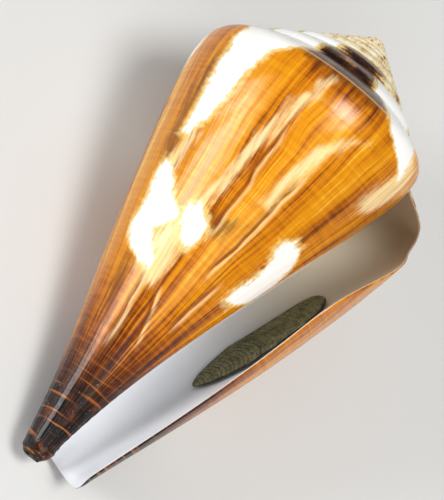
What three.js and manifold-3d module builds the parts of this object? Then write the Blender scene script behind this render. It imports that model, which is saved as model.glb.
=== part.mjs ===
// A large cone shell lying on its back with its aperture up, and the operculum that lies in the aperture.
//
// The shell is one sheet of wall that coils round the axis from the apex. Any point of it has two numbers:
// its growth in turns, 0 at the edge of the outer lip and negative back toward the apex, and its depth in
// millimetres below the apex, measured down the axis.
// The shell's own frame has X up the axis toward the apex, Z out of the side that carries the aperture,
// and the outer lip toward -Y.

import * as THREE from 'three';
import { ParametricGeometry } from 'three/addons/geometries/ParametricGeometry.js';
import { mergeVertices } from 'three/addons/utils/BufferGeometryUtils.js';
import Module from 'manifold-3d';

const wasm = await Module();
wasm.setup();

// Driving dimensions, in millimetres, turns and degrees.
const LENGTH = 100;
const SHOULDER_RADIUS = 30.1;
const SHOULDER_DEPTH = 21.6;
const SPIRE_GROWTH = 1.345;
const WALL = 2.2;
const WALL_SWING = 0.3;
const THIN_SIDE = -0.62;
const INNER_WALL = 1.0;
const LIP_EDGE = 0.6;

// Growths between which the thin wall of the inner whorls turns into the full wall of the last one, and
// between which that wall thins to the edge of the lip.
const WALL_FILLS = [-1.7, -1.3];
const LIP_THINS = [-0.22, 0];

// The inside of the ramp lies this many walls below its outside.
const INNER_DROP = 1.2;

// The pillar down the axis, and the rounded foot it ends in. Whorls no wider than the hidden radius are
// inside the pillar.
const PILLAR_TOP = 1.0;
const PILLAR_FOOT = 1.4;
const HIDDEN_RADIUS = 0.7;
const CROWN_RADIUS = 2.2;
const FOOT_RADIUS = 2.2;
const FOOT_STRETCH = 1.2;
const FOOT_OFFSET = 0.75;

// The operculum: its ends as depths below the apex, how far round from the lip its two ends lie, its
// width and thickness, the gap to the wall behind it, how far its widest place is shifted toward the upper
// end, and how full its outline is.
const LEAF_LOW = 70.2;
const LEAF_HIGH = 42.2;
const LEAF_LOW_TURN = 0.142;
const LEAF_HIGH_TURN = 0.128;
const LEAF_WIDTH = 8.8;
const LEAF_THICK = 0.9;
const LEAF_GAP = 0.35;
const LEAF_SHIFT = 0.8;
const LEAF_FULLNESS = 0.45;

// How the shell lies: the tilt of its axis, the roll round the axis, and how deep the small flat is that
// wear leaves on its back, where it rests.
const REST_LIFT = 16.5;
const REST_ROLL = -7.5;
const REST_WEAR = 0.2;

// The side view was measured where the growth is this far back from the lip.
const SIDE_GROWTH = -0.58;
const SIDE_RADIUS = SHOULDER_RADIUS * SPIRE_GROWTH ** SIDE_GROWTH;

// The flank there: its radius as a share of the side radius, a cubic in the level, from the base up.
const PROFILE = [0.117, 0.55, 1.226, -0.918];
const LEVEL_LOW = -0.1;
const LEVEL_HIGH = 1.12;

// How the radius grows: the sheet widens faster toward the base, where it wraps round the columella.
const WIDENING = 0.49;
const BASE_WIDENING = 1.12;
const BASE_WIDENING_POWER = 2.6;

// The lip leans round by this many degrees, and curves forward again near the shoulder.
const LIP_ANGLE = 59;
const LIP_SHOULDER_SWEEP = 38;
const LIP_CORNER_SWEEP = 22;
const SHOULDER_SWEEP_FROM = 0.62;
const SHOULDER_SWEEP_OVER = 0.31;
const CORNER_SWEEP_BELOW = 0.075;

// Where the sheet ends at the base: short of the full depth at the columella, shorter still in the siphon
// notch, and longer again at the lip.
const BASE_SETBACK = 1.2;
const NOTCH_DEPTH = 2.6;
const LIP_REACH = 1.6;
const NOTCH_DEEPENS = [-0.6, -0.35];
const LIP_LENGTHENS = [-0.35, -0.05];

// How finely the sheets are divided: steps to a turn, points down each face, and how closely those points
// crowd toward the shoulder. The last one and a half whorls carry the look.
const LAST_WHORLS = { perTurn: 28, points: 12, crowding: 1.7 };
const INNER_WHORLS = { perTurn: 28, points: 10, crowding: 2 };
const SPIRE_WHORLS = { perTurn: 20, points: 4, crowding: 1.3 };

// The whorls of the spire run from this step out to this one, in pieces of so many steps, and end this far
// below their shoulders.
const SPIRE_FROM = 60;
const SPIRE_TO = 160;
const SPIRE_PIECE = 16;
const SPIRE_FILL = 1.5;
const SPIRE_MARGIN = 2;

// Edges shorter than this are closed up where pieces of wall join.
const FINEST = 0.03;

// A whorl meets the one before just below its shoulder, and starts in the middle of that whorl's wall.
const SUTURE_RADIUS = 0.915;
const SUTURE_DEPTH = 1.04;
const SHOULDER_ROUND = 0.18;
const INNER_ROUND = 0.8;

const LYING = new THREE.Quaternion().setFromEuler(new THREE.Euler(
  THREE.MathUtils.degToRad(REST_ROLL),
  THREE.MathUtils.degToRad(-REST_LIFT),
  0,
  'YXZ',
));

const softMin = (a, b, round) => (a + b - Math.hypot(a - b, round)) / 2;
const clamp = THREE.MathUtils.clamp;
const lerp = THREE.MathUtils.lerp;
const smooth = THREE.MathUtils.smoothstep;

// The shoulder of the whorl at a growth, from the logarithmic spiral of the spire.
function shoulder(growth) {
  const scale = SPIRE_GROWTH ** growth;
  return { radius: SHOULDER_RADIUS * scale, depth: SHOULDER_DEPTH * scale };
}

// 0 at the base of the shell and 1 at the shoulder of this whorl.
function levelOf(growth, depth) {
  return (LENGTH - depth) / (LENGTH - shoulder(growth).depth);
}

// The long cone below the shoulder, nearly straight, and drawn in a little toward the base.
function flankRadius(growth, depth) {
  const level = clamp(levelOf(growth, depth), LEVEL_LOW, LEVEL_HIGH);
  const profile = PROFILE.reduceRight((total, factor) => total * level + factor);
  const below = Math.max(1 - level, 0);
  const rate = Math.log(SPIRE_GROWTH) + WIDENING * below + BASE_WIDENING * below ** BASE_WIDENING_POWER;
  return SIDE_RADIUS * profile * Math.exp(rate * (growth - SIDE_GROWTH));
}

function sutureDepth(growth) {
  return shoulder(growth - 1).depth * SUTURE_DEPTH;
}

// The sloping top of the whorl, from the suture out to the shoulder.
function rampRadius(growth, depth) {
  const outer = shoulder(growth);
  const inner = shoulder(growth - 1).radius * SUTURE_RADIUS - INNER_WALL / 2;
  const slope = (outer.radius - inner) / (outer.depth - sutureDepth(growth));
  return inner + (depth - sutureDepth(growth)) * slope;
}

function outerRadius(growth, depth) {
  const round = SHOULDER_ROUND * shoulder(growth).radius;
  return Math.max(softMin(rampRadius(growth, depth), flankRadius(growth, depth), round), HIDDEN_RADIUS);
}

// The wall of the last whorl is heavier on the side of the lip than on the far side, and thins to the edge
// of the lip. The whorls inside it are thin.
function wallAt(growth) {
  const full = WALL * (1 - WALL_SWING * Math.cos(2 * Math.PI * (growth - THIN_SIDE)));
  const last = lerp(full, LIP_EDGE, smooth(growth, ...LIP_THINS));
  return lerp(INNER_WALL, last, smooth(growth, ...WALL_FILLS));
}

// The inside face never passes the middle of the wall of the whorl before, nor the axis.
function innerRadius(growth, depth) {
  const wall = wallAt(growth);
  const round = SHOULDER_ROUND * shoulder(growth).radius * INNER_ROUND;
  const ramp = rampRadius(growth, depth - INNER_DROP * wall);
  const face = softMin(ramp, flankRadius(growth, depth) - wall, round);
  const before = outerRadius(growth - 1, depth) - INNER_WALL / 2;
  const thinnest = outerRadius(growth, depth) - LIP_EDGE / 2;
  return Math.max(Math.min(Math.max(face, before), thinnest), HIDDEN_RADIUS / 2);
}

// Depth at which the sheet ends at the base: the siphon notch stands back from the tip of the columella.
function baseDepth(growth) {
  const notch = NOTCH_DEPTH * smooth(growth, ...NOTCH_DEEPENS);
  const lip = LIP_REACH * smooth(growth, ...LIP_LENGTHENS);
  return LENGTH - BASE_SETBACK - notch + lip;
}

// Where round the axis a point stands, so that lines of equal growth follow the curve of the lip.
function turnOf(growth, depth) {
  const level = levelOf(growth, depth);
  const high = clamp((level - SHOULDER_SWEEP_FROM) / SHOULDER_SWEEP_OVER, 0, 1);
  const low = clamp(1 - level / CORNER_SWEEP_BELOW, 0, 0.999);
  const sweep = LIP_SHOULDER_SWEEP * high ** 2 + LIP_CORNER_SWEEP * (1 - Math.sqrt(1 - low ** 2));
  return THREE.MathUtils.degToRad(LIP_ANGLE + sweep - 360 * growth);
}

function place(growth, depth, radius, target) {
  const turn = turnOf(growth, depth);
  target.set(LENGTH - depth, -radius * Math.sin(turn), radius * Math.cos(turn));
}

// A closed solid of wall between two growths, given in steps. Its section runs down the inside and back up
// the outside, and its two ends close on the middle line of the wall.
function wallSheet(first, last, { perTurn, points, crowding }, bottom, inner) {
  const around = 2 * points + 2;
  const rows = last - first + 2;
  const outside = new THREE.Vector3();
  const inside = new THREE.Vector3();
  const section = (u, v, target) => {
    const row = Math.round(v * rows);
    const spot = Math.round(u * around) % around;
    const growth = (first + clamp(row - 1, 0, last - first)) / perTurn;
    const index = spot <= points ? spot : around - 1 - spot;
    const share = (index / points) ** crowding;
    const outerDepth = lerp(sutureDepth(growth), bottom(growth), share);
    const drop = INNER_DROP * wallAt(growth) * (1 - share);
    const innerDepth = Math.min(outerDepth + drop, bottom(growth));
    place(growth, outerDepth, outerRadius(growth, outerDepth), outside);
    place(growth, innerDepth, inner(growth, innerDepth), inside);
    if (row === 0 || row === rows) {
      target.copy(outside).add(inside).multiplyScalar(0.5);
    } else {
      target.copy(spot <= points ? inside : outside);
    }
  };
  return solidOf(new ParametricGeometry(section, around, rows));
}

// Merges shared vertices, drops triangles with no area and hands the closed mesh over as a solid.
function solidOf(geometry) {
  geometry.deleteAttribute('normal');
  geometry.deleteAttribute('uv');
  const merged = mergeVertices(geometry, 1e-5);
  const corners = [];
  const index = merged.index.array;
  for (let i = 0; i < index.length; i += 3) {
    const [a, b, c] = index.slice(i, i + 3);
    if (a !== b && b !== c && c !== a) corners.push(a, b, c);
  }
  return new wasm.Manifold(new wasm.Mesh({
    numProp: 3,
    vertProperties: new Float32Array(merged.attributes.position.array),
    triVerts: new Uint32Array(corners),
  }));
}

function geometryOf(solid) {
  const mesh = solid.getMesh();
  const geometry = new THREE.BufferGeometry();
  geometry.setAttribute('position', new THREE.BufferAttribute(new Float32Array(mesh.vertProperties), 3));
  geometry.setIndex(new THREE.BufferAttribute(new Uint32Array(mesh.triVerts), 1));
  geometry.computeVertexNormals();
  return geometry;
}

// The three whorls from the lip inward reach the base, in sheets of about half a turn. The small whorls of
// the spire stop a short way below their shoulders, where the shell is filled.
function shellSolid() {
  const spireBase = (growth) => shoulder(growth).depth * SPIRE_FILL + SPIRE_MARGIN;
  const filled = () => HIDDEN_RADIUS / 2;
  const sheets = [
    wallSheet(-15, 0, LAST_WHORLS, baseDepth, innerRadius),
    wallSheet(-29, -14, LAST_WHORLS, baseDepth, innerRadius),
    wallSheet(-42, -28, LAST_WHORLS, baseDepth, innerRadius),
    wallSheet(-63, -42, INNER_WHORLS, baseDepth, innerRadius),
    wallSheet(-84, -63, INNER_WHORLS, baseDepth, innerRadius),
  ];
  for (let step = SPIRE_FROM; step < SPIRE_TO; step += SPIRE_PIECE) {
    sheets.push(wallSheet(-step - SPIRE_PIECE, -step, SPIRE_WHORLS, spireBase, filled));
  }
  const whole = sheets.concat(columella()).reduce((joined, sheet) => joined.add(sheet));
  const rested = wearFlat(whole.simplify(FINEST));
  return rested.decompose().reduce((a, b) => (a.volume() > b.volume() ? a : b));
}

// Takes off what stands lower than the flat that the shell rests on.
function wearFlat(solid) {
  const up = new THREE.Vector3(0, 0, 1).applyQuaternion(LYING.clone().invert());
  const points = solid.getMesh().vertProperties;
  let lowest = Infinity;
  for (let i = 0; i < points.length; i += 3) {
    lowest = Math.min(lowest, up.dot(new THREE.Vector3(points[i], points[i + 1], points[i + 2])));
  }
  return solid.trimByPlane(up.toArray(), lowest + REST_WEAR);
}

// The solid pillar that the whorls wind round, with the closed tip of the spire and the rounded foot.
function columella() {
  const bottom = LENGTH - FOOT_RADIUS;
  const profile = new THREE.Path();
  profile.moveTo(0, 0.3);
  profile.lineTo(0.9, 0.7);
  profile.lineTo(CROWN_RADIUS, 2.0);
  profile.lineTo(CROWN_RADIUS, 9.0);
  profile.lineTo(PILLAR_TOP, 16.0);
  profile.lineTo(PILLAR_TOP, 60.0);
  profile.lineTo(PILLAR_FOOT, bottom);
  profile.lineTo(0, bottom + 1);
  const pillar = new THREE.LatheGeometry(profile.getPoints(), 14);
  pillar.rotateZ(Math.PI / 2);
  pillar.rotateX(Math.PI);
  pillar.translate(LENGTH, 0, 0);
  const foot = new THREE.SphereGeometry(FOOT_RADIUS, 18, 12);
  foot.scale(FOOT_STRETCH, 1, 1);
  foot.translate(FOOT_RADIUS * FOOT_STRETCH, FOOT_OFFSET, 0);
  return [solidOf(pillar), solidOf(foot)];
}

// Half the width of the operculum at a share of its length from the base end.
function leafHalfWidth(along) {
  return LEAF_WIDTH / 2 * Math.sin(Math.PI * along ** LEAF_SHIFT) ** LEAF_FULLNESS;
}

// The operculum is a thin horny leaf that lies against the inside of the outer lip. It runs up the shell
// between two depths and follows the curve of the wall.
function operculumGeometry() {
  const steps = 16;
  const around = 10;
  return new ParametricGeometry((u, v, target) => {
    const along = Math.round(v * steps) / steps;
    const turn = -(Math.round(u * around) % around) / around * 2 * Math.PI;
    const half = leafHalfWidth(along);
    const depth = lerp(LEAF_LOW, LEAF_HIGH, along);
    const middle = -lerp(LEAF_LOW_TURN, LEAF_HIGH_TURN, along);
    const growth = middle - half * Math.cos(turn) / (2 * Math.PI * innerRadius(middle, depth));
    const rounding = Math.min(1, 3 * half / LEAF_WIDTH);
    const lift = LEAF_GAP + LEAF_THICK / 2 * (1 - Math.sin(turn) * rounding);
    place(growth, depth, innerRadius(growth, depth) - lift, target);
  }, around, steps);
}

const shellMesh = new THREE.Mesh(
  geometryOf(shellSolid()),
  new THREE.MeshStandardMaterial({ color: 0xc07a24, roughness: 0.2, metalness: 0 }),
);
shellMesh.name = 'shell';

const operculum = new THREE.Mesh(
  geometryOf(solidOf(operculumGeometry())),
  new THREE.MeshStandardMaterial({ color: 0x6b6a48, roughness: 0.6, metalness: 0 }),
);
operculum.name = 'operculum';

// The shell lies on its back: its axis rises toward the apex, and it is turned a little round that axis.
const lying = new THREE.Group();
lying.add(shellMesh, operculum);
lying.quaternion.copy(LYING);

// The origin is on the ground, under the middle of the shell.
const part = new THREE.Group();
part.add(lying);
const box = new THREE.Box3().setFromObject(lying, true);
const middle = box.getCenter(new THREE.Vector3());
lying.position.set(-middle.x, -middle.y, -box.min.z);

export default part;
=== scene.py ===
# %% [markdown]
# # A large cone shell with its operculum
#
# The shell is one hard piece of lime, grown by an animal that kept adding to the edge of its opening
# while it coiled. The operculum is the dark horny leaf that lies in the opening. Both stand in for the
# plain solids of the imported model, in the same place and at the same size, with the relief, the
# markings and the finishes that the solids leave out.
#
# All lengths below are in millimetres until the last step of each mesh, where they become metres.

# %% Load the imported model
import math

import bmesh
import bpy
import numpy as np
from mathutils import Matrix, Vector


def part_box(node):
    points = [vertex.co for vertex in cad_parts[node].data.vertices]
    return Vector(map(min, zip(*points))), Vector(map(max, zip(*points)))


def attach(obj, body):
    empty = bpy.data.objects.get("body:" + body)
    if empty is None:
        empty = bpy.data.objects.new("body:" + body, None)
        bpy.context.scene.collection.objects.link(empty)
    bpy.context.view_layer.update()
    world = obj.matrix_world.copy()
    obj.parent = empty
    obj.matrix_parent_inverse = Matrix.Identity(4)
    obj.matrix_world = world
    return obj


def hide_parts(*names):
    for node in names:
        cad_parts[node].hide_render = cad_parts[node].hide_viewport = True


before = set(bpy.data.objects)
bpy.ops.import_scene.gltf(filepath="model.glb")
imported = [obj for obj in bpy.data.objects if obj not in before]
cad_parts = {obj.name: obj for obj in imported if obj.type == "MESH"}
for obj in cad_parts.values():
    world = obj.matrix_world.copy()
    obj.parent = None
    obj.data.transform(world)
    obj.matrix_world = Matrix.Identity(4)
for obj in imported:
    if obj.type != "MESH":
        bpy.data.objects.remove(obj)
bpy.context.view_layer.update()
shell_low, shell_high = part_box("shell")
print("shell box, mm", [round(1000 * side, 1) for side in shell_high - shell_low])

# %% [markdown]
# ## The shape law
#
# A shell like this is a logarithmic spiral: each turn repeats the last one at a fixed ratio. A mesh
# could be sculpted by eye, or lofted through drawn sections, but growth gives every point two honest
# numbers: its growth in turns, 0 at the edge of the outer lip and negative toward the apex, and its
# depth below the apex. With these the growth lines, scars and streaks of the real shell fall into
# place by themselves, because they all follow old positions of the lip.

# %% Driving dimensions
LENGTH = 100.0
SHOULDER_RADIUS = 30.1
SHOULDER_DEPTH = 21.6
SPIRE_GROWTH = 1.345
SIDE_GROWTH = -0.58
SIDE_RADIUS = SHOULDER_RADIUS * SPIRE_GROWTH**SIDE_GROWTH
WIDENING = 0.49
BASE_WIDENING = 1.12
SUTURE_RADIUS = 0.915
SUTURE_DEPTH = 1.04
SHOULDER_ROUND = 0.18
WALL = 2.2
INNER_WALL = 1.0
LIP_EDGE = 0.6
HIDDEN_RADIUS = 0.7
LIP_ANGLE = 59.0
REST_LIFT = 16.5
REST_ROLL = -7.5

# Growths, in turns, where the spire's filled whorls end and where the open ones begin.
SPIRE_FILLED, WHORLS_OPEN = -3.4, -2.9
# Turns back from the lip over which the base edge goes over into the columella.
PILLAR_FROM, PILLAR_TO = 0.45, 0.62
# Rounded ends stop just short of a full quarter circle, so that no face there stands on edge.
NEARLY_ONE = 0.99
print("apex to base", LENGTH, "mm, radius of the shoulder", SHOULDER_RADIUS, "mm")


def smooth(value, low, high):
    t = np.clip((value - low) / (high - low), 0, 1)
    return t * t * (3 - 2 * t)


def mix(a, b, share):
    return a + (b - a) * share


def soft_min(a, b, width):
    return (a + b - np.hypot(a - b, width)) / 2


def hump(value, middle, width):
    return np.exp(-(((value - middle) / width) ** 2))


# %% Radius of the whorl at a growth and a depth
PROFILE = (0.117, 0.55, 1.226, -0.918)
LEVEL_LOW, LEVEL_HIGH = -0.1, 1.12
BASE_WIDENING_POWER = 2.6


def shoulder(growth):
    scale = SPIRE_GROWTH**growth
    return SHOULDER_RADIUS * scale, SHOULDER_DEPTH * scale


def level_of(growth, depth):
    return (LENGTH - depth) / (LENGTH - shoulder(growth)[1])


def flank_radius(growth, depth):
    level = np.clip(level_of(growth, depth), LEVEL_LOW, LEVEL_HIGH)
    start, slope, bend, droop = PROFILE
    profile = start + level * (slope + level * (bend + level * droop))
    below = np.maximum(1 - level, 0)
    rate = math.log(SPIRE_GROWTH) + WIDENING * below + BASE_WIDENING * below**BASE_WIDENING_POWER
    return SIDE_RADIUS * profile * np.exp(rate * (growth - SIDE_GROWTH))


def suture_depth(growth):
    return shoulder(growth - 1)[1] * SUTURE_DEPTH


def ramp_radius(growth, depth):
    radius, edge = shoulder(growth)
    start = shoulder(growth - 1)[0] * SUTURE_RADIUS - INNER_WALL / 2
    slope = (radius - start) / (edge - suture_depth(growth))
    return start + (depth - suture_depth(growth)) * slope


def outer_radius(growth, depth):
    rounding = SHOULDER_ROUND * shoulder(growth)[0]
    face = soft_min(ramp_radius(growth, depth), flank_radius(growth, depth), rounding)
    return np.maximum(face, HIDDEN_RADIUS)


# %% Thickness of the wall, and the radius of its inner face
WALL_SWING, WALL_PHASE = 0.3, 0.62
LIP_THINS = -0.22
THIN_UNTIL, THICK_FROM = -1.7, -1.3
INNER_DROP = 1.2
INNER_ROUND = 0.8


def wall_at(growth):
    full = WALL * (1 - WALL_SWING * np.cos(2 * math.pi * (growth + WALL_PHASE)))
    last = mix(full, LIP_EDGE, smooth(growth, LIP_THINS, 0))
    return mix(INNER_WALL, last, smooth(growth, THIN_UNTIL, THICK_FROM))


def inner_radius(growth, depth):
    wall = wall_at(growth)
    rounding = SHOULDER_ROUND * shoulder(growth)[0] * INNER_ROUND
    ramp = ramp_radius(growth, depth - INNER_DROP * wall)
    face = soft_min(ramp, flank_radius(growth, depth) - wall, rounding)
    before = outer_radius(growth - 1, depth) - INNER_WALL / 2
    limit = outer_radius(growth, depth) - LIP_EDGE / 2
    return np.maximum(np.minimum(np.maximum(face, before), limit), HIDDEN_RADIUS / 2)


lip_radius = outer_radius(0.0, SHOULDER_DEPTH)
print("radius at the shoulder of the lip", lip_radius.round(2), "mm")
print("wall at the lip and half a turn back, mm", wall_at(0.0).round(2), wall_at(-0.5).round(2))


# %% Depth where the sheet ends: the notch, the lip with its rounded corner, and the columella
BASE_SETBACK = 1.2
NOTCH_DEPTH = 3.6
NOTCH_FROM, NOTCH_TO = -0.6, -0.35
LIP_REACH, LIP_TO = 2.1, -0.05
LIP_CORNER, CORNER_DROP = 0.07, 3.0
PILLAR_SETBACK = 0.8
SPIRE_DEPTH, SPIRE_MARGIN = 1.5, 2


def base_depth(growth):
    notch = NOTCH_DEPTH * smooth(growth, NOTCH_FROM, NOTCH_TO)
    lip = LIP_REACH * smooth(growth, NOTCH_TO, LIP_TO)
    corner = np.clip(growth / LIP_CORNER + 1, 0, 1)
    corner = CORNER_DROP * (1 - np.sqrt(1 - corner**2 * NEARLY_ONE))
    pillar = PILLAR_SETBACK * smooth(-growth, PILLAR_FROM, PILLAR_TO)
    whole = LENGTH - BASE_SETBACK - notch + lip - corner - pillar
    spire = shoulder(growth)[1] * SPIRE_DEPTH + SPIRE_MARGIN
    return mix(spire, whole, smooth(growth, SPIRE_FILLED, WHORLS_OPEN))


print("depth at the notch", base_depth(NOTCH_TO).round(1), "and the lip", base_depth(LIP_TO).round(1))


# %% The turn that gives the lines of growth and the lip their curve
SHOULDER_SWEEP, SWEEP_FROM, SWEEP_OVER = 38, 0.62, 0.31
CORNER_SWEEP, CORNER_LEVEL = 22, 0.075


def sweep_of(level):
    """How far round a line of growth has swung at a level, in degrees."""
    high = np.clip((level - SWEEP_FROM) / SWEEP_OVER, 0, 1)
    low = np.clip(1 - level / CORNER_LEVEL, 0, 0.999)
    return SHOULDER_SWEEP * high**2 + CORNER_SWEEP * (1 - np.sqrt(1 - low**2))


def turn_of(growth, depth):
    return np.radians(LIP_ANGLE + sweep_of(level_of(growth, depth)) - 360 * growth)


def place(growth, depth, radius):
    turn = turn_of(growth, depth)
    return np.stack([LENGTH - depth, -radius * np.sin(turn), radius * np.cos(turn)], -1)


print("growth lines swing", sweep_of(1.0).round(0), "degrees round at the shoulder")

# %% [markdown]
# ## From the shell's own frame to the model's frame
#
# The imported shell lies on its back, tilted and rolled a little. The same two turns are used here, and
# the shift is measured rather than copied: a coarse copy of the widest whorl is turned, and then
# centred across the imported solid's box, with the apex at the box's end and the highest point at its
# top.

# %% The lying pose
APEX_INSET = 0.3
TOP_CLEAR = 0.05
FLOOR_CLEAR = 0.02

lift = Matrix.Rotation(math.radians(-REST_LIFT), 3, "Y")
roll = Matrix.Rotation(math.radians(REST_ROLL), 3, "X")
LYING = np.array(lift @ roll)

probe_growth, probe_share = np.meshgrid(np.arange(-1.2, 0, 0.004), np.linspace(0, 1, 300))
probe_depth = mix(suture_depth(probe_growth), base_depth(probe_growth), probe_share)
probe = place(probe_growth, probe_depth, outer_radius(probe_growth, probe_depth)).reshape(-1, 3)
probe = probe @ LYING.T
SHIFT = 500 * np.array(shell_low + shell_high) - (probe.min(0) + probe.max(0)) / 2
SHIFT[0] = 1000 * shell_high.x - (np.array([LENGTH - APEX_INSET, 0, 0]) @ LYING.T)[0]
SHIFT[2] = 1000 * shell_high.z - probe[:, 2].max() + TOP_CLEAR
print("shift of the shell's frame, mm", SHIFT.round(2))


def to_model(points):
    moved = points @ LYING.T + SHIFT
    moved[..., 2] = np.maximum(moved[..., 2], FLOOR_CLEAR)
    return moved / 1000


# %% [markdown]
# ## Relief
#
# The surface isn't lathe smooth. Growth pauses leave low waves along the old lips, breaks that the
# animal mended leave jagged steps, the base carries rounded spiral cords, and a fine keel runs along
# the shoulder. All are real height on the mesh. They could be bump only, but scars and cords show in
# the outline and catch the light from the side.


# %% Repeatable waves
WAVE_PITCH, WAVE_STEP, WAVE_FADE = 7, 1.83, 1.45


def waves(value, count, seed):
    """A sum of sines, each quicker and lower than the last, that stays between about -1 and 1."""
    total = np.zeros_like(value)
    for i in range(count):
        pitch = WAVE_PITCH * WAVE_STEP**i
        total += np.sin(value * pitch + seed * 2.4 + i * 1.7) / WAVE_FADE**i
    return total / 2.2


trial = waves(np.linspace(0, 9, 999), 3, 1.0)
print("waves run from", trial.min().round(2), "to", trial.max().round(2))

# %% Mended breaks
STEP_TURNS, STEP_FADE = 0.0012, 0.02
RIDGE_HEIGHT, RIDGE_TURNS = 0.12, 0.003
SCAR_END = 0.05
SCAR_REACH_MM = 2
# A distance that stands for nowhere near.
FAR_MM = 6.0

# Each scar: the growth of its old lip at its lower and upper end, the levels of these, height in mm.
SCARS = [
    (-0.822, -0.816, 0.56, 0.86, 0.22),
    (-0.872, -0.880, 0.50, 0.80, 0.26),
    (-0.858, -0.790, 0.31, 0.47, 0.26),
    (-0.705, -0.700, 0.60, 0.84, 0.18),
    (-0.900, -0.906, 0.38, 0.54, 0.20),
    (-0.762, -0.752, 0.28, 0.52, 0.18),
    (-0.560, -0.545, 0.20, 0.62, 0.18),
    (-0.330, -0.300, 0.35, 0.80, 0.22),
    (-0.120, -0.100, 0.25, 0.66, 0.16),
]
print(len(SCARS), "mended breaks")


def past_scar(scar, growth, level):
    """How far growth went on past a scar, in turns, with the jags of the broken edge."""
    low_end, high_end, low, high = scar[:4]
    path = mix(low_end, high_end, (level - low) / (high - low)) + sweep_of(level) / 360
    jag = 0.0035 * waves(level * 3.0, 4, low_end * 40)
    teeth = 0.004 * np.abs(((level * 9 + 40 * low_end) % 1) - 0.5)
    return growth - path - jag - teeth


def on_scar(scar, level):
    low, high = scar[2:4]
    return smooth(level, low, low + SCAR_END) * (1 - smooth(level, high - SCAR_END, high))


def scar_height(growth, level):
    total = np.zeros_like(growth)
    for scar in SCARS:
        after = past_scar(scar, growth, level)
        drop = smooth(after, -STEP_TURNS, STEP_TURNS) * np.exp(-np.maximum(after, 0) / STEP_FADE)
        ridge = hump(after, -RIDGE_TURNS, RIDGE_TURNS)
        total += on_scar(scar, level) * (RIDGE_HEIGHT * ridge - scar[4] * drop)
    return total


def nearest_scar(growth, level, radius):
    """Distance past the nearest scar in mm, cut off at 2, and how much of a scar is there, 0 to 1."""
    best = np.full_like(growth, FAR_MM)
    there = np.zeros_like(growth)
    for scar in SCARS:
        away = past_scar(scar, growth, level) * 2 * math.pi * radius
        nearer = (np.abs(away) < np.abs(best)) & (on_scar(scar, level) > 0)
        best = np.where(nearer, away, best)
        there = np.where(nearer, on_scar(scar, level), there)
    there = there * (1 - smooth(np.abs(best), 1.3, 1.9))
    return np.clip(best, -SCAR_REACH_MM, SCAR_REACH_MM), there


# %% All the relief together, in mm
SLOW_HEIGHT, QUICK_HEIGHT = 0.055, 0.030
CORD_HEIGHT, CORD_PITCH = 0.045, 2.1
RAMP_CORD_HEIGHT, RAMP_CORD_PITCH = 0.02, 1.3
KEEL_HEIGHT, KEEL_LEVEL, KEEL_WIDTH = 0.07, 1.002, 0.008


def relief(growth, depth):
    level = level_of(growth, depth)
    slow = SLOW_HEIGHT * waves(growth * 9 + 0.5 * level, 3, 1.0)
    swung_back = growth - sweep_of(level) / 360
    quick = QUICK_HEIGHT * waves(swung_back * 31 + 0.9 * level, 3, 4.0)
    cord_depth = depth + 1.2 * growth + 0.5 * np.sin(9 * growth)
    cords = CORD_HEIGHT * np.cos(2 * math.pi * cord_depth / CORD_PITCH)
    cords *= (1 - smooth(level, 0.16, 0.30)) * smooth(-growth, 0.35, 0.5)
    ramp_turn = 2 * math.pi * outer_radius(growth, depth) / RAMP_CORD_PITCH
    ramp_cords = RAMP_CORD_HEIGHT * np.cos(ramp_turn) * smooth(level, 1.0, 1.02)
    keel = KEEL_HEIGHT * hump(level, KEEL_LEVEL, KEEL_WIDTH)
    fade = smooth(wall_at(growth), 0.5, 0.9)
    return (slow + quick + cords + ramp_cords + scar_height(growth, level)) * fade + keel


sample = relief(np.linspace(-1, 0, 2000), np.full(2000, 55.0))
print("relief half way down, mm", sample.min().round(2), "to", sample.max().round(2))

# %% [markdown]
# ## Where the markings lie
#
# The pale blotches and dark tongues belong to the pattern of this shell. Each one is a short list of
# rows: a level, and the growths of its two sides there. From these each point of the mesh gets one
# number, how many millimetres inside the nearest marking it is, and the material roughens that edge
# with noise. Painting an image would be quicker, but it would have a fixed sharpness and a seam.

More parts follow.
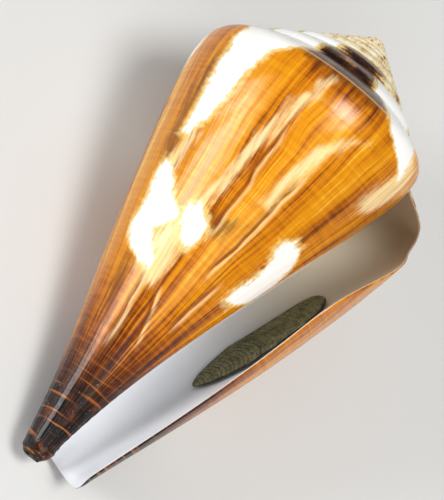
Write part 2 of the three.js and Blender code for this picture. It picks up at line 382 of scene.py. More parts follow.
# %% Blotches, cream patches and dark tongues
WHITE = [
    [(0.735, -0.686, -0.668), (0.762, -0.688, -0.661), (0.79, -0.688, -0.654), (0.827, -0.680, -0.641),
     (0.86, -0.667, -0.624), (0.895, -0.648, -0.601), (0.929, -0.632, -0.585), (0.96, -0.636, -0.577),
     (0.992, -0.655, -0.581), (1.02, -0.665, -0.575), (1.07, -0.670, -0.570)],
    [(0.463, -0.762, -0.738), (0.485, -0.756, -0.682), (0.505, -0.737, -0.665), (0.535, -0.722, -0.661),
     (0.56, -0.745, -0.669), (0.585, -0.757, -0.673), (0.605, -0.726, -0.672), (0.635, -0.712, -0.667),
     (0.668, -0.690, -0.672)],
    [(0.54, -0.800, -0.780), (0.567, -0.813, -0.765), (0.59, -0.811, -0.761), (0.61, -0.799, -0.764),
     (0.628, -0.784, -0.775)],
    [(0.510, -0.978, -0.953), (0.54, -1.026, -0.955), (0.57, -1.038, -0.958), (0.61, -1.030, -0.955),
     (0.648, -1.015, -0.934), (0.672, -0.992, -0.930), (0.686, -0.962, -0.944)],
    [(0.925, -0.893, -0.884), (0.943, -0.888, -0.868), (0.957, -0.884, -0.846), (0.972, -0.880, -0.827),
     (0.986, -0.877, -0.814), (1.003, -0.876, -0.806), (1.06, -0.880, -0.800)],
    [(0.95, -1.655, -1.560), (1.07, -1.660, -1.560)],
    [(0.95, -2.662, -2.560), (1.07, -2.668, -2.560)],
    [(0.95, -1.900, -1.782), (1.07, -1.900, -1.776)],
    [(0.25, -0.150, -0.130), (0.34, -0.170, -0.110), (0.42, -0.160, -0.120)],
    [(0.60, -0.260, -0.240), (0.68, -0.300, -0.215), (0.78, -0.290, -0.225), (0.84, -0.260, -0.245)],
    [(0.30, -0.400, -0.385), (0.40, -0.440, -0.360), (0.50, -0.425, -0.365), (0.56, -0.400, -0.380)],
    [(0.72, -0.480, -0.465), (0.80, -0.520, -0.440), (0.92, -0.510, -0.430), (1.05, -0.500, -0.440)],
    [(0.80, -0.080, -0.060), (0.90, -0.120, -0.040), (1.04, -0.130, -0.050)],
]
CREAM = [
    [(0.60, -0.790, -0.772), (0.65, -0.791, -0.768), (0.69, -0.792, -0.778), (0.73, -0.788, -0.774),
     (0.777, -0.777, -0.761), (0.823, -0.764, -0.748), (0.871, -0.747, -0.731), (0.911, -0.727, -0.712),
     (0.951, -0.717, -0.705), (0.98, -0.722, -0.714)],
    [(0.826, -0.952, -0.926), (0.854, -0.955, -0.908), (0.879, -0.945, -0.896), (0.904, -0.932, -0.885),
     (0.93, -0.918, -0.872), (0.955, -0.912, -0.880), (0.975, -0.905, -0.885)],
    [(0.44, -0.790, -0.760), (0.48, -0.795, -0.755), (0.53, -0.790, -0.735), (0.57, -0.785, -0.755)],
    [(0.66, -0.700, -0.676), (0.70, -0.704, -0.684), (0.74, -0.700, -0.690)],
    [(0.70, -0.862, -0.850), (0.78, -0.846, -0.830), (0.86, -0.820, -0.806), (0.92, -0.806, -0.796)],
]
DARK = [
    [(0.64, -0.684, -0.668), (0.69, -0.684, -0.655), (0.79, -0.652, -0.630), (0.88, -0.612, -0.592),
     (0.93, -0.590, -0.575)],
    [(0.585, -0.845, -0.815), (0.615, -0.850, -0.795), (0.635, -0.858, -0.812)],
    [(0.978, -0.770, -0.690), (0.99, -0.790, -0.672), (1.01, -0.795, -0.668), (1.07, -0.795, -0.668)],
    [(0.95, -1.772, -1.668), (1.07, -1.768, -1.672)],
    [(0.95, -2.790, -2.684), (1.07, -2.786, -2.690)],
    [(0.33, -0.735, -0.690), (0.40, -0.725, -0.680), (0.47, -0.710, -0.692)],
    [(0.50, -0.560, -0.530), (0.65, -0.580, -0.520), (0.80, -0.570, -0.535)],
    [(0.45, -0.215, -0.185), (0.60, -0.200, -0.160), (0.75, -0.190, -0.170)],
]
print(len(WHITE), "pale blotches,", len(CREAM), "cream patches and", len(DARK), "dark tongues")


# %% How far inside a marking a point is
MM_PER_LEVEL = 78.0


def inside_marking(rows, growth, level, radius):
    levels, low, high = np.array(rows).T
    left = growth - np.interp(level, levels, low)
    right = np.interp(level, levels, high) - growth
    across = np.minimum(left, right) * 2 * math.pi * radius
    along = np.minimum(level - levels[0], levels[-1] - level) * MM_PER_LEVEL
    return np.minimum(across, along)


def deepest(markings, growth, level, radius):
    best = np.full_like(growth, -FAR_MM)
    for rows in markings:
        best = np.maximum(best, inside_marking(rows, growth, level, radius))
    return best


print("the second blotch reaches", inside_marking(WHITE[1], -0.71, 0.56, 20.0).round(1), "mm deep")


# %% Broad changes of tone
def shade_at(growth, level):
    """Darker to the base, by the aperture, on the left flank, under the shoulder and at the lip."""
    total = -0.15 * (1 - smooth(level, 0.22, 0.52))
    total -= 0.05 * smooth(-growth, 0.86, 0.95) * (1 - smooth(level, 0.88, 0.95))
    total -= 0.05 * hump(growth - sweep_of(level) / 360, -0.655, 0.03)
    total -= 0.12 * hump(level, 0.975, 0.03) * hump(growth, -0.745, 0.06)
    total -= 0.05 * smooth(growth, -0.15, -0.03)
    return total


print("shade low on the shell", shade_at(-0.5, 0.1).round(2), "and high", shade_at(-0.5, 0.8).round(2))

# %% [markdown]
# ## The shell's mesh
#
# One long grid is rolled up: across it runs the section, up the outside of the wall and back down the
# inside, and along it runs growth. The rows are close together on the last whorl, where the relief
# and the lip are, and further apart in the spire. A closed grid like this has no seam to hide: its two
# long edges are welded and its two ends shrink to a line in the middle of the wall.

# %% Rows of growth, close together where the eye goes
AROUND_OUT = 118
AROUND_IN = 40
# Each stretch of growth: where it starts and stops, and its rows in a turn.
STRETCHES = [(-11.0, -5.01, 18), (-5.0, -3.01, 26), (-3.0, -1.305, 56), (-1.30, -0.002, 220)]
LIP_ROWS = [-0.0012, 0.0]
LIP_END = 0.0006
LIP_END_FILL = 0.6

stretches = [np.arange(start, stop, 1 / each) for start, stop, each in STRETCHES]
GROWTHS = np.concatenate([*stretches, LIP_ROWS])
EDGE_FILL = np.ones(len(GROWTHS))
EDGE_FILL[-1] = LIP_END_FILL
GROWTHS = np.concatenate([[GROWTHS[0]], GROWTHS, [LIP_END]])
EDGE_FILL = np.concatenate([[0.0], EDGE_FILL, [0.0]])
print(len(GROWTHS), "rows of", AROUND_OUT + AROUND_IN, "points")


# %% Where each point of the grid goes
DOWN_POWER = 1.25
RIM_FROM, RIM_SHARE = 0.985, 0.35
BASE_DOME, DOME_SHARE = 3.2, 0.75
LEAST_RADIUS = 0.5


def section_point(spot, row):
    """Positions and labels: spots 0 to AROUND_OUT run up the outside, the rest back down the inside."""
    growth = GROWTHS[row]
    fill = EDGE_FILL[row]
    is_out = spot <= AROUND_OUT
    out_share = np.clip(spot / AROUND_OUT, 0, 1)
    in_share = np.clip((spot - AROUND_OUT) / (AROUND_IN + 1), 0, 1)
    share = np.where(is_out, 1 - out_share, in_share)
    down = share**DOWN_POWER
    start, end = suture_depth(growth), base_depth(growth)
    outer_depth = mix(start, end, down)
    inner_depth = np.minimum(outer_depth + INNER_DROP * wall_at(growth) * (1 - down), end)
    opened = smooth(growth, SPIRE_FILLED, WHORLS_OPEN)
    out_radius = outer_radius(growth, outer_depth) + relief(growth, outer_depth)
    in_radius = mix(HIDDEN_RADIUS / 2, inner_radius(growth, inner_depth), opened)
    rim = smooth(down, RIM_FROM, 1.0) ** 2 * RIM_SHARE * np.maximum(out_radius - in_radius, 0)
    near_end = np.clip((outer_depth - end) / BASE_DOME + 1, 0, 1)
    near_end = near_end * smooth(-growth, PILLAR_FROM, PILLAR_TO)
    dome = 1 - DOME_SHARE * (1 - np.sqrt(1 - NEARLY_ONE * near_end**2))
    out_radius, in_radius = out_radius * dome, in_radius * dome
    outside = place(growth, outer_depth, np.maximum(out_radius - rim, LEAST_RADIUS))
    inside = place(growth, inner_depth, in_radius + rim)
    middle = (outside + inside) / 2
    face = np.where(is_out[:, None], outside, inside)
    position = mix(middle, face, fill[:, None])
    depth = np.where(is_out, outer_depth, inner_depth)
    radius = np.where(is_out, out_radius, in_radius)
    return position, growth, depth, radius, 1 - is_out


# %% From a flat grid to a finished piece
def welded_grid(across, along):
    """A flat bmesh grid whose columns wrap round, with each vertex's column and row number."""
    mesh = bmesh.new()
    bmesh.ops.create_grid(mesh, x_segments=across, y_segments=along, size=0.5)
    flat = np.array([vertex.co for vertex in mesh.verts])[:, :2] + 0.5
    columns = np.rint(flat[:, 0] * across).astype(int) % across
    rows = np.rint(flat[:, 1] * along).astype(int)
    return mesh, columns, rows


def fill_attributes(mesh, values):
    """Writes each list of numbers as a float layer of the bmesh, one per vertex."""
    for name, numbers in values.items():
        layer = mesh.verts.layers.float.new(name)
        for vertex, number in zip(mesh.verts, numbers):
            vertex[layer] = float(number)


def finish_piece(mesh, name):
    """Welds, turns the normals out, smooths the shading and links the object."""
    bmesh.ops.remove_doubles(mesh, verts=mesh.verts, dist=1e-7)
    bmesh.ops.dissolve_degenerate(mesh, edges=mesh.edges, dist=1e-8)
    bmesh.ops.recalc_face_normals(mesh, faces=mesh.faces)
    data = bpy.data.meshes.new(name)
    for face in mesh.faces:
        face.smooth = True
    mesh.to_mesh(data)
    mesh.free()
    piece = bpy.data.objects.new(name, data)
    bpy.context.scene.collection.objects.link(piece)
    print(name, len(data.vertices), "vertices", len(data.polygons), "faces")
    return piece


# %% Roll the grid into the shell
# Whorls over a turn back are seen only inside the aperture, so below this level they are porcelain.
OLD_FROM, OLD_TO, OLD_BELOW = 1.03, 1.05, 0.93
# The end of the columella is dark as the base is, not porcelain.
DARK_END_TO, DARK_END_BELOW = 0.60, 0.045

shell_mesh, spots, rows = welded_grid(AROUND_OUT + AROUND_IN + 2, len(GROWTHS) - 1)
points, growths, depths, radii, insides = section_point(spots, rows)
levels = level_of(growths, depths)
scar_away, scar_there = nearest_scar(growths, levels, radii)
old_whorl = smooth(-growths, OLD_FROM, OLD_TO) * (levels < OLD_BELOW)
dark_end = smooth(-growths, PILLAR_FROM, DARK_END_TO) * (levels < DARK_END_BELOW)
for vertex, point in zip(shell_mesh.verts, to_model(points)):
    vertex.co = point
fill_attributes(
    shell_mesh,
    {
        "growth": growths,
        "level": levels,
        "shade": shade_at(growths, levels),
        "inside": np.maximum(insides, old_whorl) * (1 - dark_end),
        "white": deepest(WHITE, growths, levels, radii),
        "cream": deepest(CREAM, growths, levels, radii),
        "dark": deepest(DARK, growths, levels, radii),
        "scar": scar_away,
        "scarred": scar_there,
    },
)
shell = finish_piece(shell_mesh, "shell_relief")

# %% [markdown]
# ## The columella
#
# Under the coils the whorls wind round a solid pillar. At the base it ends in a blunt rounded foot that
# closes the coil, and at the other end the first whorl of all is a tiny bead. Both are closed forms
# made of a profile carried round the axis. Stretched spheres would nearly do, but a profile can carry
# the same low cords as the base of the shell.

# %% Shape the foot and the first whorl
FOOT_TIP = 2.15
FOOT_LENGTH = 9.0
FOOT_RADIUS = 2.45
FOOT_OFFSET = 0.5
APEX_TIP = 99.6
APEX_LENGTH = 3.0
APEX_RADIUS = 0.75
APEX_WHITE_MM = 3
ROUND_STEPS = 56
ROUND_ROWS = 40
BLUNTNESS = 1.1
RIPPLE_HEIGHT = 0.025
HIDDEN_TAPER = 0.1


def end_cap(name, tip, toward_middle, length, widest, offset, level, white):
    """A closed round end whose tip is at one end of the axis, with its labels for the shell's finish."""
    mesh, spots_round, rows_along = welded_grid(ROUND_STEPS, ROUND_ROWS)
    share = rows_along / ROUND_ROWS
    height = length * share**1.5
    swell = np.sqrt(np.clip(1 - (1 - np.minimum(height / (BLUNTNESS * widest), 1)) ** 2, 0, 1))
    ripple = np.cos(2 * math.pi * height / RAMP_CORD_PITCH) * smooth(share, 0.25, 0.4)
    radius = widest * (swell + RIPPLE_HEIGHT * ripple)
    radius = radius * np.clip((1 - share) / HIDDEN_TAPER, 0, 1)
    turn = 2 * math.pi * spots_round / ROUND_STEPS
    x = tip + toward_middle * height
    points = np.stack([x, offset + radius * np.sin(turn), radius * np.cos(turn)], -1)
    for vertex, point in zip(mesh.verts, to_model(points)):
        vertex.co = point
    same = np.ones(len(turn))
    labels = {
        "growth": -0.9 + 0.06 * np.sin(turn),
        "level": level + height / 80,
        "inside": 0 * same,
        "white": white * same,
        "cream": -FAR_MM * same,
        "dark": -FAR_MM * same,
        "scar": SCAR_REACH_MM * same,
        "scarred": 0 * same,
        "shade": 0 * same,
    }
    fill_attributes(mesh, labels)
    return finish_piece(mesh, name)


foot = end_cap("columella_foot", FOOT_TIP, 1, FOOT_LENGTH, FOOT_RADIUS, FOOT_OFFSET, 0.0, -FAR_MM)
apex = end_cap("first_whorl", APEX_TIP, -1, APEX_LENGTH, APEX_RADIUS, 0.0, 0.6, APEX_WHITE_MM)

# %% [markdown]
# ## The operculum
#
# The animal's door is a thin leaf of horn. It grew from one end, so low curved ridges cross its older
# half, and a crease runs along the rest. It is a closed grid as well, bent to the wall it lies against.

# %% Bend the leaf to the wall
LEAF_LOW, LEAF_HIGH = 70.2, 42.2
LEAF_LOW_TURN, LEAF_HIGH_TURN = 0.142, 0.128
LEAF_WIDTH, LEAF_THICK, LEAF_GAP = 8.8, 0.9, 0.35
LEAF_AROUND, LEAF_ALONG = 64, 120
LEAF_LENGTH = LEAF_LOW - LEAF_HIGH
LEAF_FULLNESS = 1.06
TAPER_SHARE, TAPER_POWER, BLUNT_POWER = 0.36, 0.55, 8
RING_START_MM, RING_ROUND = 3.0, 1.6
CREASE_DEPTH, CREASE_PLACE, CREASE_WIDTH = 0.12, 0.12, 0.08

leaf_mesh, leaf_spots, leaf_rows = welded_grid(LEAF_AROUND, LEAF_ALONG)
along = leaf_rows / LEAF_ALONG
leaf_turn = -2 * math.pi * leaf_spots / LEAF_AROUND
taper = np.minimum(along / TAPER_SHARE, 1) ** TAPER_POWER
half = LEAF_FULLNESS * LEAF_WIDTH / 2 * taper * np.sqrt(np.maximum(1 - along**BLUNT_POWER, 0))
leaf_depth = mix(LEAF_LOW, LEAF_HIGH, along)
leaf_middle = -mix(LEAF_LOW_TURN, LEAF_HIGH_TURN, along)
across = np.cos(leaf_turn)
leaf_growth = leaf_middle - half * across / (2 * math.pi * inner_radius(leaf_middle, leaf_depth))
leaf_ring = np.hypot(along * LEAF_LENGTH + RING_START_MM, across * half * RING_ROUND)
ridges = 0.010 * np.sin(leaf_ring * 7.1) + 0.012 * np.sin(leaf_ring * 1.3 + 0.6)
ridges = ridges * (1 - smooth(along, 0.4, 0.7))
crease = -CREASE_DEPTH * hump(across, CREASE_PLACE, CREASE_WIDTH) * smooth(along, 0.45, 0.6)
rounding = np.minimum(1, 3 * half / LEAF_WIDTH)
leaf_lift = LEAF_GAP + LEAF_THICK / 2 * (1 - np.sin(leaf_turn) * rounding)
face_up = np.clip(-np.sin(leaf_turn), 0, 1)
leaf_lift = leaf_lift + (ridges + crease) * face_up * rounding
leaf_points = place(leaf_growth, leaf_depth, inner_radius(leaf_growth, leaf_depth) - leaf_lift)
for vertex, point in zip(leaf_mesh.verts, to_model(leaf_points)):
    vertex.co = point
fill_attributes(
    leaf_mesh,
    {
        "along": along * LEAF_LENGTH,
        "across": across * half,
        "edge": half * (1 - np.abs(across)),
        "ring": leaf_ring,
    },
)
leaf = finish_piece(leaf_mesh, "operculum_leaf")


# %% [markdown]
# ## Helpers for materials
#
# Colours are written as they are picked on a screen, and turned linear by one function. One helper adds
# a node with its settings and links. The rest are steps that this object keeps asking for: a sum of
# parts, a pattern squeezed along or across the growth lines, and a layer of colour laid over another.


# %% Colours, and one way to add a node
def colour(code):
    channels = [int(code[i : i + 2], 16) / 255 for i in (1, 3, 5)]
    linear = [c / 12.92 if c <= 0.04045 else ((c + 0.055) / 1.055) ** 2.4 for c in channels]
    return (*linear, 1.0)


def new_material(name):
    material = bpy.data.materials.new(name)
    material.use_nodes = True
    material.node_tree.nodes.clear()
    return material, material.node_tree


def add(tree, kind, *values, named=None, take=0, **settings):
    """Adds a node. Values or links fill its inputs in order or by name, and one output comes back."""
    node = tree.nodes.new("ShaderNode" + kind)
    for key, value in settings.items():
        setattr(node, key, value)
    for key, value in {**dict(enumerate(values)), **(named or {})}.items():
        if isinstance(value, bpy.types.NodeSocket):
            tree.links.new(value, node.inputs[key])
        else:
            node.inputs[key].default_value = value
    return node.outputs[take] if node.outputs else None


# %% Sums, patterns and layers of colour
SOFT = {"interpolation_type": "SMOOTHSTEP"}


def together(tree, total, *parts):
    """Adds each part to a total, by its share."""
    for part, share in parts:
        total = add(tree, "Math", part, share, total, operation="MULTIPLY_ADD")
    return total


def grown_pattern(tree, flat, squeeze, layer, per_mm, detail, rough):
    """Noise in growth and depth, squeezed along each. Each layer is another cut of the noise."""
    spot = {"Vector": flat, "Location": (0, 0, layer), "Scale": (*squeeze, 1)}
    spot = add(tree, "Mapping", named=spot)
    settings = {"Vector": spot, "Scale": per_mm, "Detail": detail, "Roughness": rough}
    return add(tree, "TexNoise", named=settings, take="Fac")


def set_stops(picked, stops):
    """Fills the colour ramp that an output comes from with (position, colour code) stops."""
    bar = picked.node.color_ramp
    while len(bar.elements) < len(stops):
        bar.elements.new(0.5)
    for element, (position, code) in zip(bar.elements, stops):
        element.position = position
        element.color = colour(code)


def glaze(tree, under, over, *shares):
    """Lays one colour over another by the product of its shares."""
    share = shares[0]
    for more in shares[1:]:
        share = add(tree, "Math", share, more, operation="MULTIPLY")
    under, over = (colour(paint) if isinstance(paint, str) else paint for paint in (under, over))
    return add(tree, "Mix", named={0: share, 6: under, 7: over}, data_type="RGBA", take=2)


# %% [markdown]
# ## The shell's finish
#
# The real wall is hard, dense lime with a natural polish, like glazed china with a faint depth. Its
# colour sits in the outer layer, laid down line by line at the lip: amber and brown streaks along the
# growth lines, crossed by hair-fine spiral lines, with chalk white blotches whose edges fray along
# both. The base is nearly black and the inside is bluish porcelain. Noise in growth and depth gives
# streaks of the right size and direction everywhere, which noise in space would not.

# %% Growth and depth as millimetres on the surface
MM_PER_TURN = 150.0
SWAY_MM = 5.0

shell_material, tree = new_material("shell_polish")
labels = {}
for name in ("growth", "level", "shade", "inside", "white", "cream", "dark", "scar", "scarred"):
    labels[name] = add(tree, "Attribute", attribute_name=name, take="Fac")
growth, level = labels["growth"], labels["level"]

swing = add(tree, "MapRange", level, SWEEP_FROM, SWEEP_FROM + SWEEP_OVER)
swing = add(tree, "Math", swing, 2.0, operation="POWER")
across_mm = together(tree, growth, (swing, -SHOULDER_SWEEP / 360))
across_mm = add(tree, "Math", across_mm, MM_PER_TURN, operation="MULTIPLY")
along_mm = add(tree, "Math", level, MM_PER_LEVEL, operation="MULTIPLY")
flat = add(tree, "CombineXYZ", across_mm, along_mm)
print("the shell's finish reads", len(labels), "labels")

# %% Streaks along the growth lines: about 6 mm, 1.3 mm and 0.3 mm wide, the last as fine as will show
sway = grown_pattern(tree, flat, (0.05, 0.05), layer=0, per_mm=1.0, detail=2, rough=0.5)
sway = add(tree, "Math", sway, 0.5, operation="SUBTRACT")
swayed_mm = together(tree, across_mm, (sway, SWAY_MM))
grain = add(tree, "CombineXYZ", swayed_mm, along_mm)
broad = grown_pattern(tree, grain, (1, 0.07), layer=0, per_mm=0.16, detail=4, rough=0.6)
narrow = grown_pattern(tree, grain, (1, 0.035), layer=7, per_mm=0.75, detail=4, rough=0.62)
hair = grown_pattern(tree, grain, (1, 0.02), layer=3, per_mm=3.4, detail=2, rough=0.6)
spiral_lines = grown_pattern(tree, flat, (0.05, 1), layer=5, per_mm=1.7, detail=3, rough=0.6)
tone = together(
    tree, labels["shade"], (broad, 0.55), (narrow, 0.42), (hair, 0.20), (spiral_lines, 0.13)
)
amber = add(tree, "ValToRGB", tone)
set_stops(
    amber,
    [
        (0.43, "#421a02"),
        (0.50, "#7a3802"),
        (0.56, "#b26202"),
        (0.62, "#d28003"),
        (0.69, "#e2970c"),
        (0.76, "#f3bd45"),
        (0.83, "#fde49e"),
    ],
)
print("amber runs through", len(amber.node.color_ramp.elements), "colours")

# %% Dark tongues with frayed edges
fray = grown_pattern(tree, flat, (1, 0.22), layer=11, per_mm=0.8, detail=4, rough=0.65)
fray = add(tree, "Math", fray, 0.5, operation="SUBTRACT")
dark_mm = together(tree, labels["dark"], (fray, 6.0))
tongue = add(tree, "MapRange", dark_mm, -1.0, 1.6, **SOFT)
body = glaze(tree, amber, "#5e2503", tongue, 0.68)
print(len(tree.nodes), "nodes with the tongues")

# %% Mended breaks: a pale chipped strip, then a brown strip of painted shadow below the step, each between a rise and a fall in mm
CHIPS = ((-1.1, -0.5), (-0.4, -0.1), 0.6, "#fbdc9c")
# The brown strip is painted shadow, where the step of each mended break would shade the newer shell.
STEP_SHADOW = ((-0.25, 0.05), (0.15, 0.8), 0.9, "#7a3604")

scar_mm = together(tree, labels["scar"], (fray, 0.5))
patchy = add(tree, "MapRange", narrow, 0.30, 0.52, **SOFT)
for rise, fall, strength, code in (CHIPS, STEP_SHADOW):
    rising = add(tree, "MapRange", scar_mm, *rise, **SOFT)
    falling = add(tree, "MapRange", scar_mm, *fall, **SOFT)
    strip = add(tree, "Math", rising, falling, operation="SUBTRACT")
    body = glaze(tree, body, code, strip, strength, labels["scarred"], patchy)
print(len(tree.nodes), "nodes with the mended breaks")

# %% The near-black base, with thin tan arcs 1.9 mm apart and a few specks
ARC_HALF_PITCH = 0.95

base_noise = grown_pattern(tree, flat, (0.15, 1), layer=17, per_mm=0.35, detail=3, rough=0.6)
base_tone = add(tree, "ValToRGB", base_noise)
set_stops(base_tone, [(0.38, "#050201"), (0.50, "#120603"), (0.60, "#331305"), (0.72, "#6b300c")])
wobble = grown_pattern(tree, flat, (0.03, 1), layer=19, per_mm=0.3, detail=2, rough=0.5)
arc_mm = together(tree, along_mm, (wobble, 6.0))
arc_off = add(tree, "Math", arc_mm, ARC_HALF_PITCH, operation="PINGPONG")
arcs = add(tree, "MapRange", arc_off, 0.30, 0.04, **SOFT)
worn = grown_pattern(tree, flat, (0.05, 1), layer=29, per_mm=0.6, detail=3, rough=0.6)
worn = add(tree, "MapRange", worn, 0.38, 0.62, **SOFT)
base_tone = glaze(tree, base_tone, "#b9692a", arcs, worn, 0.75)
specks = grown_pattern(tree, flat, (0.22, 1), layer=53, per_mm=1.9, detail=1, rough=0.5)
specks = add(tree, "MapRange", specks, 0.70, 0.78, **SOFT)
base_tone = glaze(tree, base_tone, "#c9b8a0", specks, 0.3)
base_level = together(tree, level, (fray, 0.10))
base_share = add(tree, "MapRange", base_level, 0.33, 0.15, **SOFT)
body = glaze(tree, body, base_tone, base_share)
print(len(tree.nodes), "nodes with the base")

# %% The ramp of the spire: cream, tan and brown round the coil, and a painted highlight as a tan line on the keel
ring = grown_pattern(tree, flat, (0.04, 1), layer=31, per_mm=2.2, detail=3, rough=0.6)
coil = add(tree, "CombineXYZ", growth, level)
flame = grown_pattern(tree, coil, (26, 40), layer=37, per_mm=1.0, detail=4, rough=0.65)
old_whorls = add(tree, "MapRange", growth, -2.4, -3.2, **SOFT)
near_dark = add(tree, "MapRange", labels["dark"], -3.0, 2.0, **SOFT)
ramp_tone = together(tree, 0.0, (ring, 0.40), (flame, 0.65), (old_whorls, 0.05), (near_dark, -0.17))
ramp_colour = add(tree, "ValToRGB", ramp_tone)
set_stops(
    ramp_colour,
    [
        (0.28, "#160b07"),
        (0.36, "#3a1c0d"),
        (0.43, "#754620"),
        (0.49, "#b88c52"),
        (0.55, "#e6d09c"),
        (0.66, "#f7edd2"),
    ],
)
above_keel = add(tree, "MapRange", level, 1.004, 1.012, **SOFT)
past_last = add(tree, "MapRange", growth, -1.1, -1.2, **SOFT)
on_ramp = add(tree, "Math", above_keel, past_last, operation="MAXIMUM")
body = glaze(tree, body, ramp_colour, on_ramp)

# The pale tan line along the keel of the last whorl is a painted highlight, laid over the keel's real
# relief.
keel_off = add(tree, "Math", level, KEEL_LEVEL, operation="SUBTRACT")
keel_off = add(tree, "Math", keel_off, operation="ABSOLUTE")
painted_keel_highlight = add(tree, "MapRange", keel_off, 0.004, 0.0, **SOFT)
last_whorl = add(tree, "MapRange", growth, -1.2, -1.1, **SOFT)
body = glaze(tree, body, "#e8cfa0", painted_keel_highlight, last_whorl, 0.55)
print(len(tree.nodes), "nodes with the spire")

# %% Cream patches, and pale blotches with a cream fringe
cream_mm = together(tree, labels["cream"], (fray, 5.0))
cream_edge = add(tree, "MapRange", cream_mm, -1.0, 1.2, **SOFT)
streaked = add(tree, "MapRange", narrow, 0.25, 0.55, **SOFT)
body = glaze(tree, body, "#fbe3a8", cream_edge, streaked, 0.80)
crumbs = grown_pattern(tree, flat, (0.5, 1), layer=23, per_mm=1.3, detail=3, rough=0.6)
crumbs = add(tree, "Math", crumbs, 0.5, operation="SUBTRACT")
white_mm = together(tree, labels["white"], (fray, 3.2), (crumbs, 2.0))
fringe = add(tree, "MapRange", white_mm, -1.4, 0.0, **SOFT)
body = glaze(tree, body, "#fbdc8e", fringe, 0.75)
chalk = add(tree, "MapRange", white_mm, -0.1, 0.5, **SOFT)
body = glaze(tree, body, "#fbf9f4", chalk)
print(len(tree.nodes), "nodes with the blotches")

# %% Porcelain inside: bluish white, cream further up, and brown painted shade deep under the shoulder
cloud = grown_pattern(tree, flat, (0.1, 1), layer=41, per_mm=0.06, detail=1, rough=0.5)
porcelain = glaze(tree, "#eef2fb", "#fdfcf8", cloud)
further_up = add(tree, "MapRange", level, 0.40, 0.85, **SOFT)
porcelain = glaze(tree, porcelain, "#f4ead6", further_up)
# The brown deep under the shoulder is painted shade, where the last whorl keeps the light out of the
# aperture.
deep = add(tree, "MapRange", level, 0.82, 1.0, **SOFT)
porcelain = glaze(tree, porcelain, "#9a7748", deep, 0.65)
skin = glaze(tree, body, porcelain, labels["inside"])
print(len(tree.nodes), "nodes with the inside")

# %% Fine relief and gloss, calmer on the base and none inside
fine_spiral = grown_pattern(tree, flat, (0.04, 1), layer=5, per_mm=4.5, detail=2, rough=0.5)
height = together(tree, 0.0, (hair, 0.6), (narrow, 0.6), (fine_spiral, 0.35))
outside_share = together(tree, 1.0, (labels["inside"], -1.0))
calm_base = together(tree, 1.0, (base_share, -0.7))
for calm in (outside_share, calm_base):
    height = add(tree, "Math", height, calm, operation="MULTIPLY")
bump = add(tree, "Bump", named={"Strength": 0.40, "Distance": 0.00012, "Height": height})
gloss = together(tree, 0.15, (narrow, 0.14), (base_share, 0.10))
polish = {
    "Base Color": skin,
    "Roughness": gloss,
    "IOR": 1.50,
    "Specular IOR Level": 0.30,
    "Coat Weight": 0.05,
    "Coat Roughness": 0.12,
    "Normal": bump,
}
add(tree, "OutputMaterial", add(tree, "BsdfPrincipled", named=polish))
for piece in (shell, foot, apex):
    piece.data.materials.append(shell_material)
print(len(tree.nodes), "nodes in the shell's finish")

# %% [markdown]
# ## The operculum's finish
#
# Horn is olive brown, dull where it is worn and a little greasy where it isn't. Its growth rings show
# as dark arcs, its rim is darker, and fine specks cover it.

# %% Horn
RING_HALF_PITCH = 0.42

leaf_material, tree = new_material("operculum_horn")
ring_mm, edge_mm, along_leaf, across_leaf = (
    add(tree, "Attribute", attribute_name=name, take="Fac")
    for name in ("ring", "edge", "along", "across")
)
leaf_flat = add(tree, "CombineXYZ", along_leaf, across_leaf)
ring_flat = add(tree, "CombineXYZ", ring_mm, across_leaf)
grime = grown_pattern(tree, leaf_flat, (1, 1), layer=0, per_mm=0.55, detail=5, rough=0.65)
bands = grown_pattern(tree, ring_flat, (1, 0.05), layer=3, per_mm=1.6, detail=4, rough=0.65)
speckle = grown_pattern(tree, leaf_flat, (1, 1), layer=9, per_mm=2.6, detail=4, rough=0.7)
horn_tone = together(tree, 0.0, (bands, 0.25), (grime, 0.40), (speckle, 0.38))
horn = add(tree, "ValToRGB", horn_tone)
set_stops(
    horn,
    [(0.36, "#201f14"), (0.44, "#4f4c33"), (0.52, "#807c56"), (0.60, "#a29e74"), (0.70, "#cbc59b")],
)
print(len(tree.nodes), "nodes with the horn's colour")

# %% Dark growth rings on its older half, a darker rim and its dull gloss
ring_place = together(tree, ring_mm, (grime, 1.6))
ring_off = add(tree, "Math", ring_place, RING_HALF_PITCH, operation="PINGPONG")
ring_line = add(tree, "MapRange", ring_off, 0.17, 0.05, **SOFT)
older_half = add(tree, "MapRange", along_leaf, 18.0, 12.0, **SOFT)
ring_worn = add(tree, "MapRange", speckle, 0.40, 0.55, **SOFT)
horn = glaze(tree, horn, "#100f09", ring_line, older_half, ring_worn, 0.85)
# The horn is painted darker within about a millimetre of its edge.
rim_mm = together(tree, edge_mm, (grime, 0.8))
darker_rim = add(tree, "MapRange", rim_mm, 0.95, 0.45, **SOFT)
horn = glaze(tree, horn, "#0c0b07", darker_rim)
leaf_bump = add(tree, "Bump", named={"Strength": 0.6, "Distance": 0.0002, "Height": horn_tone})
leaf_gloss = together(tree, 0.42, (grime, 0.25))
dull = {"Base Color": horn, "Roughness": leaf_gloss, "IOR": 1.54, "Normal": leaf_bump}
add(tree, "OutputMaterial", add(tree, "BsdfPrincipled", named=dull))
leaf.data.materials.append(leaf_material)
print(len(tree.nodes), "nodes in the operculum's finish")

# %% [markdown]
# ## Fasten the pieces to the model
#
# Each piece rides on the model's one body, and the solids they stand in for are hidden.

# %% Ride and replace
for piece, node in ((shell, "shell"), (foot, "shell"), (apex, "shell"), (leaf, "operculum")):
    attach(piece, "root")
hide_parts("shell")
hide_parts("operculum")
print(shell.name, "and", leaf.name, "stand in for the packed solids")

# %% [markdown]
# ## Floor, light and camera
#
# The shell lies on a plain pale floor. Two soft square lights, one on the upper left of the picture
# and one on the right near the camera, put highlights down the left flank and on the upper whorl. A
# larger, softer light in front and a pale even sky fill the rest.

# %% Floor
FLOOR_HALF_SIDE = 1.5

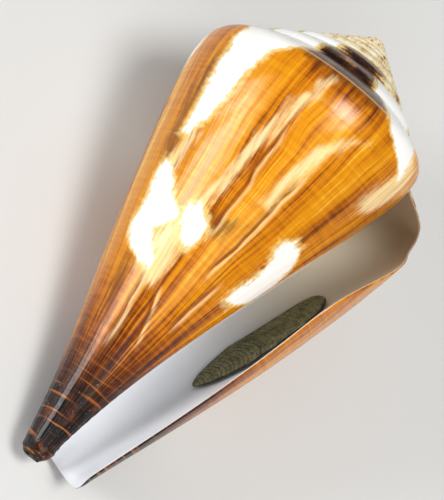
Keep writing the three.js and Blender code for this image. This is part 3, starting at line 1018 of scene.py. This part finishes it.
floor_mesh = bmesh.new()
bmesh.ops.create_grid(floor_mesh, x_segments=4, y_segments=4, size=FLOOR_HALF_SIDE)
floor_data = bpy.data.meshes.new("floor")
floor_mesh.to_mesh(floor_data)
floor_mesh.free()
floor = bpy.data.objects.new("floor", floor_data)
bpy.context.scene.collection.objects.link(floor)
floor_material, tree = new_material("floor_paper")
paper = {"Base Color": colour("#d6d5d2"), "Roughness": 0.75}
add(tree, "OutputMaterial", add(tree, "BsdfPrincipled", named=paper))
floor_data.materials.append(floor_material)
print("floor", 2 * FLOOR_HALF_SIDE, "m wide")

# %% Camera, placed from the shell's own frame
CAMERA_TILT = math.radians(12.0)
CAMERA_ROLL = math.radians(50.7)
CAMERA_DISTANCE = 330.0
PIXELS_PER_MM = 5.70
TALL = 500
SENSOR = 36.0
AIMED_AT = (51.0, -1.95, 0.0)

toward = np.array([-math.sin(CAMERA_TILT), 0, math.cos(CAMERA_TILT)])
axis_up = np.array([math.cos(CAMERA_TILT), 0, math.sin(CAMERA_TILT)])
lip_side = np.array([0, -1.0, 0])
right = math.cos(CAMERA_ROLL) * axis_up + math.sin(CAMERA_ROLL) * lip_side
up = math.sin(CAMERA_ROLL) * axis_up - math.cos(CAMERA_ROLL) * lip_side
eye = (np.array(AIMED_AT) + CAMERA_DISTANCE * toward) @ LYING.T + SHIFT
right, up, toward = (axis @ LYING.T for axis in (right, up, toward))

camera_data = bpy.data.cameras.new("camera")
camera_data.sensor_width = SENSOR
camera_data.lens = SENSOR * PIXELS_PER_MM * CAMERA_DISTANCE / TALL
camera = bpy.data.objects.new("camera", camera_data)
frame_axes = Matrix((right, up, toward)).transposed().to_4x4()
camera.matrix_world = Matrix.Translation(Vector(eye / 1000)) @ frame_axes
bpy.context.scene.collection.objects.link(camera)
bpy.context.scene.camera = camera
print("camera at, mm", eye.round(0), "lens", round(camera_data.lens, 1))

# %% Soft lights
SHELL_MIDDLE = Vector((0.0, 0.0, 0.024))


def soft_light(name, direction, distance, size, power):
    """A square area light that faces the shell from a direction given along the picture's axes."""
    data = bpy.data.lights.new(name, "AREA")
    data.shape = "SQUARE"
    data.size = size
    data.energy = power
    light = bpy.data.objects.new(name, data)
    way = direction[0] * right + direction[1] * up + direction[2] * toward
    way = Vector(way / np.linalg.norm(way))
    light.location = SHELL_MIDDLE + way * distance
    light.rotation_euler = way.to_track_quat("Z", "Y").to_euler()
    bpy.context.scene.collection.objects.link(light)
    print(name, "light", power, "W")


# Metres away, metres wide, watts.
soft_light("key", (-0.72, 0.38, 0.62), 0.8, 0.26, 3.4)
soft_light("fill", (0.51, 0.02, 0.88), 0.9, 0.26, 5.4)
soft_light("front", (0.0, -0.75, 1.0), 1.0, 0.60, 2.8)

# %% Pale sky and plain tones
SKY_STRENGTH = 0.30

world = bpy.data.worlds.new("studio")
world.use_nodes = True
world.node_tree.nodes["Background"].inputs[0].default_value = colour("#eef1f6")
world.node_tree.nodes["Background"].inputs[1].default_value = SKY_STRENGTH
bpy.context.scene.world = world
bpy.context.scene.view_settings.view_transform = "Standard"
bpy.context.scene.view_settings.exposure = 0.0
print("sky strength", SKY_STRENGTH)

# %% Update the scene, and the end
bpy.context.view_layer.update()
